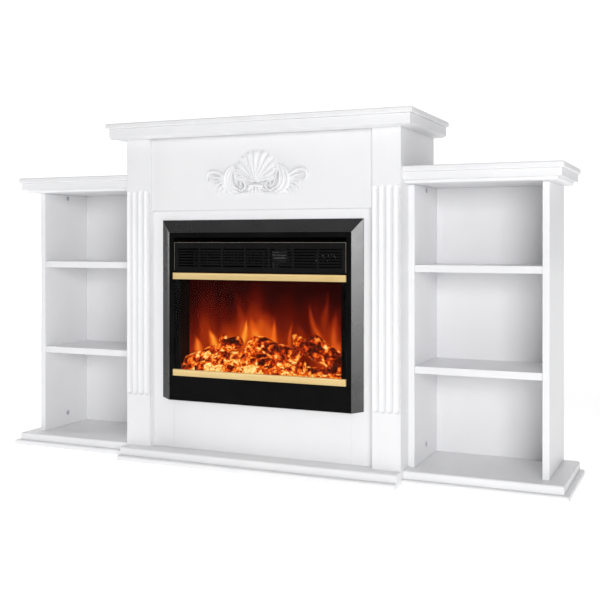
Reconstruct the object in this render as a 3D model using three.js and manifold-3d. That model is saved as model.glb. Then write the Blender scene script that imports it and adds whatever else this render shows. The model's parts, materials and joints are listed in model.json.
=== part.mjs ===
// Electric fireplace: a mantel cabinet between two open bookcases, with a
// 23-inch class electric firebox insert. Millimetres, +Z up, front towards -Y.
// The origin is on the floor, under the middle of the overall box. Places from
// back to front are given as a distance in front of the wall plane ("out").
import * as THREE from 'three';
import { mergeVertices } from 'three/addons/utils/BufferGeometryUtils.js';
import Module from 'manifold-3d';

const wasm = await Module();
wasm.setup();

// ---------------------------------------------------------------- sizes
const GAP = 0.3;                    // clearance that touching pieces keep
const overall = { width: 1784, height: 1034, depth: 388 };
const wallY = overall.depth / 2;

const board = { panel: 16, bookcasePanel: 18, shelf: 20, back: 5 };

const centre = {
  width: 890,                       // across the two side panels
  pilasterWidth: 83,
  pilasterThickness: 25,
  friezeThickness: 16,
  surroundThickness: 16,
  friezeReveal: 29,                 // surround seen between the bezel and the frieze
  baseProjection: 56,               // plinth, in front of the pilasters
};
const centreTop = {
  boardThickness: 16,
  frontOverhang: 48,
  sideOverhang: 47,
  edgeRadius: 4,
  crownHeight: 32,
  crownSetback: 8,
  crownRail: 20,                    // thickness of the front and side rails
  coveHeight: 6,
  coveDepth: 12,
};
const base = { height: 38, plinthHeight: 15, topRadius: 6, plinthRadius: 5, plinthStep: 18 };
const bookcase = {
  panelTop: 831,                    // height of the side panels
  panelOut: 263,                    // side panels, front edge from the wall
  shelfSetback: 3,
  shelfTops: [605, 321],
  backInset: 31,
  panelInset: 58.5,                 // outer panel, from the end of the plinth
  boardThickness: 17,
  corniceHeight: 31.5,
  bandHeight: 21,
  frontOverhang: 54.5,
  sideOverhang: 46,
  bandSetback: 7,
  coveDepth: 12,
  baseProjection: 61,
  baseStep: 13.5,
};
const flute = { count: 4, land: 0.8, depth: 5.5, capHeight: 158, footHeight: 157, steps: 40 };
const carving = { width: 340, height: 134, rise: 15, aboveFrieze: 42, shellWidth: 124, shellHeight: 94 };

const insert = {
  openingWidth: 582,
  openingBottom: 200,
  openingHeight: 522,
  shelfThickness: 16,
  bodyClearance: 3,                 // firebox body in the opening
  bodyDepth: 225,
  sheet: 1.5,
};
const bezel = {
  sideBand: 32,
  topBand: 38,
  rise: 17,
  lip: 1.6,
  wall: 1.8,
  reveal: 6,                        // inner edge, outside the cabinet's opening
  drop: 14,                         // foot, below the cabinet's opening
  innerHeight: 512,
  footSlope: 5,
};
const face = { post: 14.5, thickness: 16, panelHeight: 76, rebate: 19, rebateDepth: 6, topRail: 15 };
const strip = { height: 19.4, proud: 6, groove: 0.8, lipHeight: 3 };
const glass = { height: 293.5, thickness: 4, back: 8 };
const flap = { height: 90, thickness: 8, hingeGap: 3.2, sideGap: 1, corner: 7 };
const louvre = { columns: 7, rows: 7, pitch: 8.4, slot: 4.2, mullion: 6, margin: 13, bottom: 16 };

// Inside the firebox body, "behind" is a distance behind the face of the surround.
const bed = { behind: 6.7, depth: 72, height: 66, wall: 2.5, slope: 14 };
const screen = { behind: 88.7, thickness: 4 };
const lamp = { behind: 14.7, depth: 56, thickness: 1.6, domes: 9, domeRadius: 5, feet: 8 };
const spindle = { radius: 3, vane: 22, behind: 160.7, above: 112, vanes: 10, clearance: 0.6, wall: 1 };
const motor = { radius: 24, length: 26, boss: 8, standoff: 6 };
const blower = { radius: 27, blades: 18, blade: 1.6, bladeDepth: 9, discs: 3, disc: 3, shaft: 3.4 };
const blowerPlace = { behind: 80.7, above: 46, fromLeftWall: 46, fromControls: 46 };
const blowerMotor = { radius: 29, length: 46, gap: 2, upright: 6, plate: 4, bore: 4, halfFoot: 16 };
const heater = { behind: 22.7, depth: 16, height: 46, fins: 22, fin: 1.2, bar: 6, above: 20, inset: 6 };
const controls = { fromRightWall: 34.5, width: 140, height: 74, depth: 40, behind: 16.7, wall: 2.5 };
const rocker = { width: 12, height: 21, radius: 13, proud: 3, clearance: 0.6, restTilt: -7, xs: [20, 44] };
const knob = { radius: 9, length: 14, stem: 2.6, grip: 1.4, clearance: 0.5, restTurn: -135, xs: [76, 112] };
const gland = { radius: 9, flange: 13, rim: 3, length: 14, bore: 3.6, above: 60, inFromSide: 60 };

// ---------------------------------------------------------------- finishes
const finishes = {
  paint: { color: 0xf1f1f2, roughness: 0.42, metalness: 0 },
  blackMetal: { color: 0x1b1b1c, roughness: 0.42, metalness: 0.2 },
  steel: { color: 0x9a9c9e, roughness: 0.45, metalness: 0.9 },
  gold: { color: 0xe2bf78, roughness: 0.3, metalness: 0.85 },
  glass: { color: 0x2a1c18, roughness: 0.06, metalness: 0 },
  log: { color: 0x6b2410, roughness: 0.85, metalness: 0 },
  ember: { color: 0xd2581a, roughness: 0.8, metalness: 0 },
  flame: { color: 0x7a1706, roughness: 0.5, metalness: 0 },
  plastic: { color: 0x222224, roughness: 0.5, metalness: 0 },
  circuit: { color: 0x2f6b3c, roughness: 0.6, metalness: 0 },
  foil: { color: 0xc9cbce, roughness: 0.2, metalness: 0.95 },
};

// ---------------------------------------------------------------- helpers
const group = new THREE.Group();

const mid = ([from, to]) => (from + to) / 2;
const span = ([from, to]) => to - from;
const mirrored = ([from, to], side) => (side < 0 ? [-to, -from] : [from, to]);

function addMesh(name, geometry, finish) {
  const mesh = new THREE.Mesh(geometry, new THREE.MeshStandardMaterial(finishes[finish]));
  mesh.name = name;
  group.add(mesh);
  return mesh;
}

// A closed solid from a three.js geometry, for joining and cutting.
function toSolid(geometry) {
  const bare = geometry.clone();
  bare.deleteAttribute('normal');
  bare.deleteAttribute('uv');
  const merged = mergeVertices(bare, 1e-4);
  return new wasm.Manifold(new wasm.Mesh({
    numProp: 3,
    vertProperties: new Float32Array(merged.attributes.position.array),
    triVerts: new Uint32Array(merged.index.array),
  }));
}

function toGeometry(solid) {
  const { vertProperties, triVerts } = solid.getMesh();
  const geometry = new THREE.BufferGeometry();
  geometry.setAttribute('position', new THREE.BufferAttribute(vertProperties, 3));
  geometry.setIndex(new THREE.BufferAttribute(triVerts, 1));
  return geometry;
}

const addSolid = (name, solid, finish) => addMesh(name, toGeometry(solid), finish);

// A box between [from, to] pairs: along the wall, out from the wall, and up.
function boxGeometry(x, out, z) {
  const geometry = new THREE.BoxGeometry(span(x), span(out), span(z));
  return geometry.translate(mid(x), wallY - mid(out), mid(z));
}

const addBox = (name, x, out, z, finish) => addMesh(name, boxGeometry(x, out, z), finish);
const boxSolid = (x, out, z) => toSolid(boxGeometry(x, out, z));
const join = (solids) => solids.reduce((sum, solid) => sum.add(solid));
const cut = (solid, tools) => tools.reduce((rest, tool) => rest.subtract(tool), solid);

// An outline of [out, z] points, drawn along X between two places.
function alongX(points, x) {
  const shape = new THREE.Shape(points.map(([out, z]) => new THREE.Vector2(out, z)));
  const geometry = new THREE.ExtrudeGeometry(shape, { depth: span(x), bevelEnabled: false });
  const toPlace = new THREE.Matrix4().makeBasis(
    new THREE.Vector3(0, -1, 0), new THREE.Vector3(0, 0, 1), new THREE.Vector3(-1, 0, 0));
  return geometry.applyMatrix4(toPlace).translate(x[1], wallY, 0);
}

// An outline of [x, z] points, drawn out from the wall between two places.
function alongOut(points, out) {
  const shape = new THREE.Shape(points.map(([x, z]) => new THREE.Vector2(x, z)));
  const geometry = new THREE.ExtrudeGeometry(shape, { depth: span(out), bevelEnabled: false });
  return geometry.rotateX(Math.PI / 2).translate(0, wallY - out[0], 0);
}

// Points of a quarter circle about a centre, from one angle to another, in degrees.
function arc(cx, cz, radius, from, to, steps = 4) {
  const points = [];
  for (let i = 0; i <= steps; i += 1) {
    const angle = THREE.MathUtils.degToRad(from + ((to - from) * i) / steps);
    points.push([cx + radius * Math.cos(angle), cz + radius * Math.sin(angle)]);
  }
  return points;
}

// The outline of a board's exposed edge: flat behind, rounded above and below.
function roundedEdge(end, z, topRadius, bottomRadius) {
  const foot = bottomRadius > 0
    ? arc(end - bottomRadius, z[0] + bottomRadius, bottomRadius, -90, 0)
    : [[end, z[0]]];
  return [...foot, ...arc(end - topRadius, z[1] - topRadius, topRadius, 0, 90)];
}

// A board whose front edge and chosen ends carry the rounded profile.
function edgedBoard(x, out, z, { top, bottom = 0, left = true, right = true }) {
  const front = alongX([[out[0], z[1]], [out[0], z[0]], ...roundedEdge(out[1], z, top, bottom)], x);
  const rightEnd = right ? roundedEdge(x[1], z, top, bottom) : [[x[1], z[0]], [x[1], z[1]]];
  const leftEnd = left
    ? roundedEdge(-x[0], z, top, bottom).reverse().map(([px, pz]) => [-px, pz])
    : [[x[0], z[1]], [x[0], z[0]]];
  const ends = alongOut([...rightEnd, ...leftEnd], out);
  return toSolid(front).intersect(toSolid(ends));
}

// A solid turned about a point, by degrees about X, Y and Z.
function turned(solid, degrees, [x, out, z]) {
  const y = wallY - out;
  return solid.translate([-x, -y, -z]).rotate(degrees).translate([x, y, z]);
}

function cylinderAlongX(radius, x, out, z, facets = 32) {
  const geometry = new THREE.CylinderGeometry(radius, radius, span(x), facets);
  return geometry.rotateZ(Math.PI / 2).translate(mid(x), wallY - out, z);
}

function cylinderAlongOut(radius, x, out, z, facets = 32) {
  return new THREE.CylinderGeometry(radius, radius, span(out), facets).translate(x, wallY - mid(out), z);
}

const sides = [['left', -1], ['right', 1]];

// ---------------------------------------------------------------- places
const half = overall.width / 2;
const centreHalf = centre.width / 2;
const centreOut = overall.depth - centre.baseProjection;       // pilaster face
const pilasterBack = centreOut - centre.pilasterThickness;
const surroundOut = pilasterBack - GAP;                        // surround face
const surroundBack = surroundOut - centre.surroundThickness;
const sideInner = centreHalf - board.panel;
const topUnder = overall.height - centreTop.boardThickness;
const crownBottom = topUnder - centreTop.crownHeight;
const pilasterInner = centreHalf - centre.pilasterWidth;
const openingHalf = insert.openingWidth / 2;
const openingTop = insert.openingBottom + insert.openingHeight;
const bezelInner = openingHalf + bezel.reveal;
const bezelFoot = insert.openingBottom - bezel.drop;
const bezelTop = bezelFoot + bezel.innerHeight;
const friezeBottom = bezelTop + bezel.topBand + centre.friezeReveal;
const bodyHalf = openingHalf - insert.bodyClearance;
const shelfTop = insert.openingBottom + insert.bodyClearance;

// ---------------------------------------------------------------- mantel cabinet
function buildTop() {
  const x = [-centreHalf - centreTop.sideOverhang, centreHalf + centreTop.sideOverhang];
  const boardOut = centreOut + centreTop.frontOverhang;
  const top = edgedBoard(x, [0, boardOut], [topUnder, overall.height],
    { top: centreTop.edgeRadius, bottom: centreTop.edgeRadius });
  addSolid('mantel_top_board', top, 'paint');

  const z = [crownBottom, topUnder - GAP];
  const end = x[1] - centreTop.crownSetback;
  const crownOut = boardOut - centreTop.crownSetback;
  const railBack = crownOut - centreTop.crownRail;
  const bandBottom = z[0] + centreTop.coveHeight;
  const profile = (edge, back) => [
    [back, z[1]], [back, z[0]], [edge - centreTop.coveDepth, z[0]], [edge, bandBottom], [edge, z[1]],
  ];
  const rail = alongX(profile(crownOut, railBack), [-end, end]);
  const block = boxGeometry([-centreHalf, centreHalf], [centreOut + GAP, railBack + 1], z);
  addSolid('crown_front', toSolid(rail).add(toSolid(block)), 'paint');
  for (const [label, side] of sides) {
    const outline = profile(end, centreHalf + GAP).map(([px, pz]) => [side * px, pz]);
    if (side < 0) outline.reverse();
    addMesh(`crown_return_${label}`, alongOut(outline, [0, railBack - GAP]), 'paint');
  }
}

// A board between the base and the crown, with flutes cut into its face.
function flutedPilaster(side) {
  const x = mirrored([pilasterInner, centreHalf], side);
  const z = [base.height + GAP, topUnder - GAP];
  const blank = boxSolid(x, [pilasterBack, centreOut], z);
  const pitch = centre.pilasterWidth / flute.count;
  const chord = pitch - flute.land;
  const radius = (chord * chord / 4 + flute.depth * flute.depth) / (2 * flute.depth);
  const out = centreOut + radius - flute.depth;
  const ends = [base.height + flute.footHeight + chord / 2, crownBottom - flute.capHeight - chord / 2];
  const tools = [];
  for (let i = 0; i < flute.count; i += 1) {
    const cx = x[0] + pitch * (i + 0.5);
    const ball = wasm.Manifold.sphere(radius, flute.steps);
    const tops = ends.map((cz) => ball.translate([cx, wallY - out, cz]));
    const shaft = wasm.Manifold.cylinder(span(ends), radius, radius, flute.steps);
    tools.push(join([shaft.translate([cx, wallY - out, ends[0]]), ...tops]));
  }
  return cut(blank, tools);
}

function buildFront() {
  for (const [label, side] of sides) {
    addSolid(`pilaster_${label}`, flutedPilaster(side), 'paint');
    const tall = [base.height + GAP, topUnder - GAP];
    addBox(`centre_side_panel_${label}`, mirrored([sideInner, centreHalf], side),
      [0, surroundOut], tall, 'paint');
    addBox(`surround_stile_${label}`, mirrored([openingHalf, sideInner - GAP], side),
      [surroundBack, surroundOut], tall, 'paint');
  }
  const railX = [-openingHalf + GAP, openingHalf - GAP];
  const out = [surroundBack, surroundOut];
  addBox('surround_header', railX, out, [openingTop, topUnder - GAP], 'paint');
  addBox('surround_bottom_panel', railX, out, [base.height + GAP, insert.openingBottom], 'paint');
  addBox('frieze_panel', [-pilasterInner + GAP, pilasterInner - GAP],
    [pilasterBack, pilasterBack + centre.friezeThickness], [friezeBottom, topUnder - GAP], 'paint');
  addBox('insert_shelf', [-sideInner + GAP, sideInner - GAP], [board.panel, surroundBack - GAP],
    [shelfTop - insert.shelfThickness, shelfTop], 'paint');
}

// The carved ornament as one low relief: a fan shell between leaf scrolls. Each mound
// is given by its half width, half height, rise, and middle along X and up.
function buildCarving() {
  const back = pilasterBack + centre.friezeThickness + GAP;
  const foot = friezeBottom + carving.aboveFrieze;
  const { height, shellHeight, rise } = carving;
  const shellRadius = carving.shellWidth / 2;
  const reach = carving.width / 2;
  const mounds = [
    [shellRadius, shellHeight * 0.56, rise, 0, height - shellHeight * 0.56],
    [shellRadius * 0.62, height * 0.3, rise * 0.7, 0, height * 0.3],
  ];
  for (const side of [-1, 1]) {
    mounds.push([reach * 0.3, height * 0.3, rise * 0.8, side * reach * 0.42, height * 0.46]);
    mounds.push([reach * 0.24, height * 0.22, rise * 0.7, side * reach * 0.76, height * 0.42]);
  }
  const pieces = mounds.map(([rx, rz, ry, x, z]) => (
    wasm.Manifold.sphere(1, 24).scale([rx, ry, rz]).translate([x, 0, z])));
  const behind = boxSolid([-reach * 2, reach * 2], [wallY - 2 * rise, wallY], [-height, 2 * height]);
  addSolid('carved_applique', join(pieces).subtract(behind).translate([0, wallY - back, foot]), 'paint');
}

function buildCentreBase() {
  const x = [-centreHalf, centreHalf];
  const boardZ = [base.plinthHeight + GAP, base.height];
  const boardOut = overall.depth - base.plinthStep;
  const upper = edgedBoard(x, [0, boardOut], boardZ, { top: base.topRadius, left: false, right: false });
  addSolid('centre_base_board', upper, 'paint');
  const lower = edgedBoard(x, [0, overall.depth], [0, base.plinthHeight],
    { top: base.plinthRadius, left: false, right: false });
  addSolid('centre_base_plinth', lower, 'paint');
}

// ---------------------------------------------------------------- bookcases
const innerX = [centreHalf + GAP, centreHalf + GAP + board.bookcasePanel];
const outerEnd = half - bookcase.panelInset;
const outerX = [outerEnd - board.bookcasePanel, outerEnd];
const bayX = [innerX[1] + GAP, outerX[0] - GAP];

function buildBookcase(label, side) {
  const name = (piece) => `${label}_bookcase_${piece}`;
  const panelZ = [base.height + GAP, bookcase.panelTop];
  const panelOut = [0, bookcase.panelOut];
  addBox(name('inner_panel'), mirrored(innerX, side), panelOut, panelZ, 'paint');
  addBox(name('outer_panel'), mirrored(outerX, side), panelOut, panelZ, 'paint');
  const backOut = [bookcase.backInset, bookcase.backInset + board.back];
  addBox(name('back_panel'), mirrored(bayX, side), backOut, panelZ, 'paint');
  const shelfOut = [backOut[1] + GAP, bookcase.panelOut - bookcase.shelfSetback];
  ['upper_shelf', 'lower_shelf'].forEach((piece, i) => {
    const top = bookcase.shelfTops[i];
    addBox(name(piece), mirrored(bayX, side), shelfOut, [top - board.shelf, top], 'paint');
  });

  const rounding = { left: side < 0, right: side > 0 };
  const corniceZ = [bookcase.panelTop + GAP, bookcase.panelTop + bookcase.corniceHeight];
  const topZ = [corniceZ[1] + GAP, corniceZ[1] + GAP + bookcase.boardThickness];
  const topX = [innerX[0], outerX[1] + bookcase.sideOverhang];
  const topOut = bookcase.panelOut + bookcase.frontOverhang;
  addSolid(name('top_board'), edgedBoard(mirrored(topX, side), [0, topOut], topZ,
    { top: centreTop.edgeRadius, bottom: centreTop.edgeRadius, ...rounding }), 'paint');

  const bandX = [innerX[0], topX[1] - bookcase.bandSetback];
  const bandOut = [0, topOut - bookcase.bandSetback];
  const bandZ = [corniceZ[1] - bookcase.bandHeight, corniceZ[1]];
  const coveX = [innerX[0], bandX[1] - bookcase.coveDepth];
  const coveOut = [0, bandOut[1] - bookcase.coveDepth];
  const coveHeight = corniceZ[1] - bookcase.bandHeight - corniceZ[0];
  const band = boxSolid(mirrored(bandX, side), bandOut, bandZ);
  const cove = edgedBoard(mirrored(coveX, side), coveOut, [corniceZ[0], bandZ[0] + 1],
    { top: 1, bottom: coveHeight * 0.7, ...rounding });
  addSolid(name('cornice'), band.add(cove), 'paint');

  const plinthX = [innerX[0], half];
  const plinthOut = bookcase.panelOut + bookcase.baseProjection;
  const baseX = [innerX[0], half - bookcase.baseStep];
  addSolid(name('base_board'), edgedBoard(mirrored(baseX, side), [0, plinthOut - bookcase.baseStep],
    [base.plinthHeight + GAP, base.height], { top: base.topRadius, ...rounding }), 'paint');
  addSolid(name('base_plinth'), edgedBoard(mirrored(plinthX, side), [0, plinthOut],
    [0, base.plinthHeight], { top: base.plinthRadius, ...rounding }), 'paint');
}

// ---------------------------------------------------------------- firebox front
const faceOut = [surroundOut + GAP, surroundOut + GAP + face.thickness];
const faceHalf = bezelInner - GAP;
const postInner = faceHalf - face.post;
const faceTop = bezelTop - face.topRail;
const panelTop = bezelFoot + face.panelHeight;
const lowerStripZ = [panelTop + GAP, panelTop + GAP + strip.height];
const glassZ = [panelTop + GAP, panelTop + GAP + strip.height + glass.height];
const upperStripZ = [glassZ[1] - strip.height + 0.6, glassZ[1] + 0.6];
const flapZ = [upperStripZ[1] + flap.hingeGap, upperStripZ[1] + flap.hingeGap + flap.height];
const flapOut = [faceOut[1] - 2 - flap.thickness, faceOut[1] - 2];
const glassOut = [faceOut[1] - glass.back, faceOut[1] - glass.back + glass.thickness];

// A sheet-metal surround, flared towards the opening, with mitred top corners.
function buildBezel() {
  const crest = surroundOut + GAP + bezel.rise;
  const slope = bezel.rise - bezel.lip;
  const hang = bezel.wall * Math.hypot(slope, bezel.sideBand) / bezel.sideBand;
  // Section points: share of the band's width from the inner edge, and the distance out.
  const section = [
    [1, faceOut[0]], [1, faceOut[0] + bezel.lip], [0, crest], [0, faceOut[0]],
    [bezel.wall / bezel.sideBand, faceOut[0]], [bezel.wall / bezel.sideBand, crest - hang],
    [1 - bezel.wall / bezel.sideBand, faceOut[0]],
  ];
  const stations = [
    ([w, out]) => [-bezelInner - w * bezel.sideBand, out, bezelFoot + w * bezel.footSlope],
    ([w, out]) => [-bezelInner - w * bezel.sideBand, out, bezelTop + w * bezel.topBand],
    ([w, out]) => [bezelInner + w * bezel.sideBand, out, bezelTop + w * bezel.topBand],
    ([w, out]) => [bezelInner + w * bezel.sideBand, out, bezelFoot + w * bezel.footSlope],
  ];
  const points = stations.flatMap((place) => section.map(place));
  const positions = points.flatMap(([x, out, z]) => [x, wallY - out, z]);
  const count = section.length;
  const index = [];
  for (let s = 0; s + 1 < stations.length; s += 1) {
    for (let i = 0; i < count; i += 1) {
      const [a, b] = [s * count + i, s * count + (i + 1) % count];
      index.push(a, b, b + count, a, b + count, a + count);
    }
  }
  const caps = THREE.ShapeUtils.triangulateShape(section.map(([w, out]) => new THREE.Vector2(w, out)), []);
  const last = (stations.length - 1) * count;
  for (const [a, b, c] of caps) {
    index.push(a, c, b, last + a, last + b, last + c);
  }
  const geometry = new THREE.BufferGeometry();
  geometry.setAttribute('position', new THREE.Float32BufferAttribute(positions, 3));
  geometry.setIndex(index);
  if (toSolid(geometry).volume() < 0) {
    for (let i = 0; i < index.length; i += 3) [index[i + 1], index[i + 2]] = [index[i + 2], index[i + 1]];
    geometry.setIndex(index);
  }
  addMesh('bezel_frame', geometry, 'blackMetal');
}

// The two side posts, the top rail and the lower panel, with a rebate for the glass.
function buildFace() {
  const blank = boxSolid([-faceHalf, faceHalf], faceOut, [bezelFoot + GAP, bezelTop - GAP]);
  const window = boxSolid([-postInner, postInner], [faceOut[0] + face.rebateDepth, faceOut[1] + 1],
    [panelTop, faceTop]);
  const opening = boxSolid([-postInner + face.rebate, postInner - face.rebate],
    [faceOut[0] - 1, faceOut[1]], [panelTop, faceTop]);
  const flapWay = boxSolid([-postInner, postInner], [faceOut[0] - 1, faceOut[1] + 1],
    [flapZ[0] - 1, faceTop]);
  addSolid('face_frame', cut(blank, [window, opening, flapWay]), 'blackMetal');
}

// A trim strip with a shallow band between two raised lips.
function addStrip(name, z) {
  const back = glassOut[1] + GAP;
  const front = faceOut[1] + strip.proud;
  const outline = [
    [back, z[1]], [back, z[0]], [front, z[0]], [front, z[0] + strip.lipHeight],
    [front - strip.groove, z[0] + strip.lipHeight + strip.groove],
    [front - strip.groove, z[1] - strip.lipHeight - strip.groove],
    [front, z[1] - strip.lipHeight], [front, z[1]],
  ];
  addMesh(name, alongX(outline, [-postInner + GAP, postInner - GAP]), 'gold');
}

function buildGlass() {
  addStrip('lower_trim_strip', lowerStripZ);
  addStrip('upper_trim_strip', upperStripZ);
  addBox('glass_pane', [-postInner + GAP, postInner - GAP], glassOut, glassZ, 'glass');
}

// The drop-down grille over the controls, hinged along its lower front edge.
function buildFlap() {
  const end = postInner - flap.sideGap;
  const outline = [
    [-end, flapZ[0]], [end, flapZ[0]],
    ...arc(end - flap.corner, flapZ[1] - flap.corner, flap.corner, 0, 90),
    ...arc(-end + flap.corner, flapZ[1] - flap.corner, flap.corner, 90, 180),
  ];
  const plate = toSolid(alongOut(outline, flapOut));
  const slots = [];
  const pitch = (2 * end - 2 * louvre.margin + louvre.mullion) / louvre.columns;
  for (let column = 0; column < louvre.columns; column += 1) {
    const left = -end + louvre.margin + column * pitch;
    for (let row = 0; row < louvre.rows; row += 1) {
      const low = flapZ[0] + louvre.bottom + row * louvre.pitch;
      slots.push(boxSolid([left, left + pitch - louvre.mullion], [flapOut[0] - 1, flapOut[1] + 1],
        [low, low + louvre.slot]));
    }
  }
  addSolid('louvre_flap', cut(plate, slots), 'blackMetal');
}

// ---------------------------------------------------------------- firebox body
const inside = (behind, depth) => [surroundOut - behind - depth, surroundOut - behind];
const bodyOut = inside(0, insert.bodyDepth);
const bodyZ = [shelfTop + GAP, openingTop - insert.bodyClearance];
const floorTop = bodyZ[0] + insert.sheet;
const baffleTop = flapZ[0] - GAP;
const wallInner = bodyHalf - insert.sheet;
const spindleZ = floorTop + spindle.above;
const glandX = bodyHalf - gland.inFromSide;
const glandZ = bodyZ[0] + gland.above;
const bedOut = inside(bed.behind, bed.depth);
const screenOut = inside(screen.behind, screen.thickness);
const lampOut = inside(lamp.behind, lamp.depth);
const spindleOut = surroundOut - spindle.behind;
const blowerOut = surroundOut - blowerPlace.behind;
const heaterOut = inside(heater.behind, heater.depth);
const boxRight = wallInner - controls.fromRightWall;
const boxX = [boxRight - controls.width, boxRight];
const controlsOut = inside(controls.behind, controls.depth);
const motorRoom = blowerMotor.gap + blowerMotor.upright + blowerMotor.length;
const blowerX = [-wallInner + blowerPlace.fromLeftWall, boxX[0] - blowerPlace.fromControls - motorRoom];

// Bent and flat sheets: a cover over the sides and top, a floor, a back and a baffle.
function buildHousing() {
  const full = [-bodyHalf, bodyHalf];
  const inner = [-wallInner + GAP, wallInner - GAP];
  const backOut = [bodyOut[0], bodyOut[0] + insert.sheet];
  const frontPart = [backOut[1] + GAP, bodyOut[1]];
  const cover = boxSolid(full, frontPart, [floorTop + GAP, bodyZ[1]]);
  const under = boxSolid([-wallInner, wallInner], [frontPart[0] - 1, frontPart[1] + 1],
    [bodyZ[0], bodyZ[1] - insert.sheet]);
  const bearing = toSolid(cylinderAlongX(spindle.radius + spindle.clearance, [-bodyHalf - 1, -wallInner + 1],
    spindleOut, spindleZ, 24));
  addSolid('firebox_cover', cut(cover, [under, bearing]), 'steel');
  addBox('firebox_floor', full, frontPart, [bodyZ[0], floorTop], 'steel');
  addBox('firebox_baffle', inner, frontPart, [baffleTop - insert.sheet, baffleTop], 'steel');
  const through = [backOut[0] - 1, backOut[1] + 1];
  const entry = toSolid(cylinderAlongOut(gland.radius + GAP, glandX, through, glandZ, 24));
  addSolid('firebox_back', cut(boxSolid(full, backOut, bodyZ), [entry]), 'steel');
}

function buildFireEffect() {
  const x = [-wallInner + GAP, wallInner - GAP];
  const top = floorTop + bed.height;
  const outline = [
    [bedOut[0], floorTop + GAP], [bedOut[0] + bed.wall, floorTop + GAP],
    [bedOut[0] + bed.wall, top + bed.slope - bed.wall], [bedOut[1] - bed.wall, top - bed.wall],
    [bedOut[1] - bed.wall, floorTop + GAP], [bedOut[1], floorTop + GAP],
    [bedOut[1], top], [bedOut[0], top + bed.slope],
  ];
  addMesh('ember_bed', alongX(outline, x), 'ember');
  addBox('flame_screen', x, screenOut, [floorTop + GAP, baffleTop - insert.sheet - GAP], 'flame');
  buildLogs(top);
  buildLamps();
}

// Tapered logs resting on the ember bed, joined where they cross. Each runs between
// two points given as [x, behind the bed's front edge, above the bed's front edge].
function buildLogs(bedTop) {
  const logs = [
    { from: [-268, 34, 22], to: [-52, 50, 104], radius: 24 },
    { from: [-24, 52, 108], to: [140, 30, 22], radius: 25 },
    { from: [70, 58, 106], to: [262, 40, 40], radius: 24 },
    { from: [-215, 12, 16], to: [-20, 26, 62], radius: 20 },
    { from: [20, 14, 20], to: [205, 22, 34], radius: 19 },
    { from: [-110, 40, 30], to: [110, 44, 34], radius: 24 },
  ];
  const place = ([x, behind, above]) => new THREE.Vector3(x, wallY - (bedOut[1] - behind), bedTop + above);
  const solids = logs.map(({ from, to, radius }) => {
    const [start, end] = [place(from), place(to)];
    const way = end.clone().sub(start);
    const log = new THREE.CylinderGeometry(radius * 0.85, radius, way.length(), 10, 1);
    const up = new THREE.Vector3(0, 1, 0);
    log.applyQuaternion(new THREE.Quaternion().setFromUnitVectors(up, way.clone().normalize()));
    const centre = start.lerp(end, 0.5);
    return toSolid(log.translate(centre.x, centre.y, centre.z));
  });
  const slope = bed.slope / bed.depth;
  const rise = (out) => bedTop + (bedOut[1] - out) * slope + GAP;
  const reach = [screenOut[1] + GAP, bodyOut[1] - GAP];
  const room = toSolid(alongX([
    [reach[0], bodyZ[1]], [reach[0], rise(reach[0])], [reach[1], rise(reach[1])], [reach[1], bodyZ[1]],
  ], [-wallInner + 1, wallInner - 1]));
  addSolid('log_set', join(solids).intersect(room), 'log');
}

function buildLamps() {
  const length = wallInner - 24;
  const z = [floorTop + lamp.feet, floorTop + lamp.feet + lamp.thickness];
  const strips = [boxSolid([-length, length], lampOut, z)];
  for (let i = 0; i < lamp.domes; i += 1) {
    const x = -length + (2 * length * (i + 0.5)) / lamp.domes;
    const dome = wasm.Manifold.cylinder(lamp.domeRadius + 0.5, lamp.domeRadius, lamp.domeRadius * 0.6, 12);
    strips.push(dome.translate([x, wallY - mid(lampOut), z[1] - 0.5]));
    const foot = [x - 3, x + 3];
    strips.push(boxSolid(foot, [lampOut[0], lampOut[0] + 6], [floorTop + GAP, z[0] + 0.5]));
    strips.push(boxSolid(foot, [lampOut[1] - 6, lampOut[1]], [floorTop + GAP, z[0] + 0.5]));
  }
  addSolid('lamp_board', join(strips), 'circuit');
}

// The turning rod with foil vanes that makes the flames flicker, and its motor.
const spindleEnd = wallInner - motor.length - motor.standoff;
function buildSpindle() {
  const rodX = [-bodyHalf - 2, spindleEnd - motor.boss + 2];
  const pieces = [toSolid(cylinderAlongX(spindle.radius, rodX, spindleOut, spindleZ, 20))];
  const room = spindleEnd - motor.boss - 4 + wallInner - 4;
  const pitch = room / spindle.vanes;
  for (let i = 0; i < spindle.vanes; i += 1) {
    const vane = new THREE.BoxGeometry(pitch * 0.7, 2 * spindle.vane, spindle.wall);
    vane.rotateX((i * Math.PI) / 4);
    vane.translate(-wallInner + 4 + pitch * (i + 0.5), wallY - spindleOut, spindleZ);
    pieces.push(toSolid(vane));
  }
  addSolid('flame_spindle', join(pieces), 'foil');

  const bodyX = [spindleEnd, wallInner - GAP];
  const can = toSolid(cylinderAlongX(motor.radius, bodyX, spindleOut, spindleZ));
  const boss = toSolid(cylinderAlongX(spindle.radius + 4, [spindleEnd - motor.boss, spindleEnd + 1],
    spindleOut, spindleZ, 24));
  const foot = boxSolid([spindleEnd + 4, wallInner - GAP], [spindleOut - 12, spindleOut + 12],
    [floorTop + GAP, spindleZ]);
  const bore = toSolid(cylinderAlongX(spindle.radius + spindle.clearance,
    [spindleEnd - motor.boss - 1, spindleEnd + 4], spindleOut, spindleZ, 20));
  addSolid('spindle_motor', cut(join([can, boss, foot]), [bore]), 'steel');
}

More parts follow.
